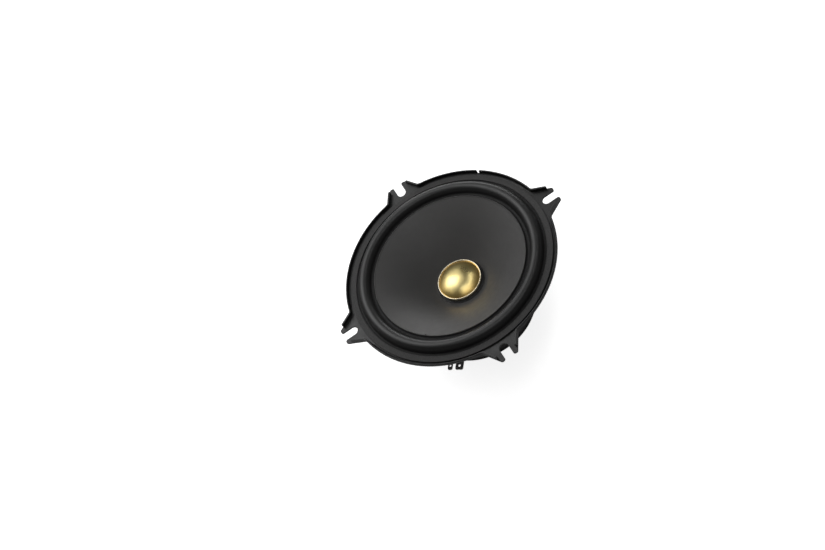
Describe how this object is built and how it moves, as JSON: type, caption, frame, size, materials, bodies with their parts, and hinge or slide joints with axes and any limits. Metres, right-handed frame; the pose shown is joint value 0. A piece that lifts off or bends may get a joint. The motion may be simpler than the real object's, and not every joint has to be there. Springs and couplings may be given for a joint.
{
  "type": "car door woofer",
  "caption": "Round car door woofer with a shallow charcoal cone, gold dust cap, rubber surround, slotted mounting tabs and a ferrite motor.",
  "frame": {"origin": "centre of the yoke's rear face, at the bottom of the part", "axes": "+Z along the speaker's axis towards the listener, +X and +Y through two neighbouring mounting tabs"},
  "size_m": [0.1526, 0.1526, 0.0563],
  "materials": {
    "black_steel": "satin black paint on pressed steel",
    "gasket_board": "matt dark grey pressed board",
    "surround_rubber": "smooth semi-matt rubber",
    "spider_cloth": "resin-dipped woven cloth",
    "zinc_steel": "zinc-plated steel",
    "ferrite": "ground grey-black ferrite",
    "black_yoke": "black-coated steel",
    "rivet_steel": "plated steel",
    "board_fibre": "brown laminated board",
    "tinned_brass": "bright tin plating",
    "raw_brass": "plain brass",
    "solder": "dull solder",
    "braid": "copper-tinsel braid",
    "cone_plastic": "charcoal moulded polypropylene with a soft sheen",
    "cap_gold": "gold-anodised satin metal",
    "black_glue": "glossy black adhesive",
    "former_film": "amber film",
    "collar_paper": "brown paper wrap",
    "copper_wire": "enamelled copper",
    "amber_glue": "cured adhesive"
  },
  "bodies": {
    "chassis": {"basket": "black_steel", "front_gasket": "gasket_board", "surround": "surround_rubber", "spider": "spider_cloth", "top_plate": "zinc_steel", "magnet": "ferrite", "yoke": "black_yoke", "plate_rivets": "rivet_steel", "terminal_board": "board_fibre", "board_rivet": "rivet_steel", "positive_spade": "tinned_brass", "negative_spade": "tinned_brass", "spade_rivets": "raw_brass", "spade_solder": "solder", "positive_lead": "braid", "negative_lead": "braid"},
    "diaphragm": {"cone": "cone_plastic", "dust_cap": "cap_gold", "cap_adhesive": "black_glue", "coil_former": "former_film", "former_collar": "collar_paper", "voice_coil": "copper_wire", "coil_wires": "copper_wire", "lead_solder": "solder", "neck_adhesive": "amber_glue"}
  },
  "joints": [
    {"name": "cone_travel", "type": "slide", "parent": "chassis", "child": "diaphragm", "axis": [0, 0, 1], "range_m": [-0.0035, 0.0035], "stiffness_N_per_m": 2400, "deforming": ["surround", "spider", "positive_lead", "negative_lead"]}
  ]
}
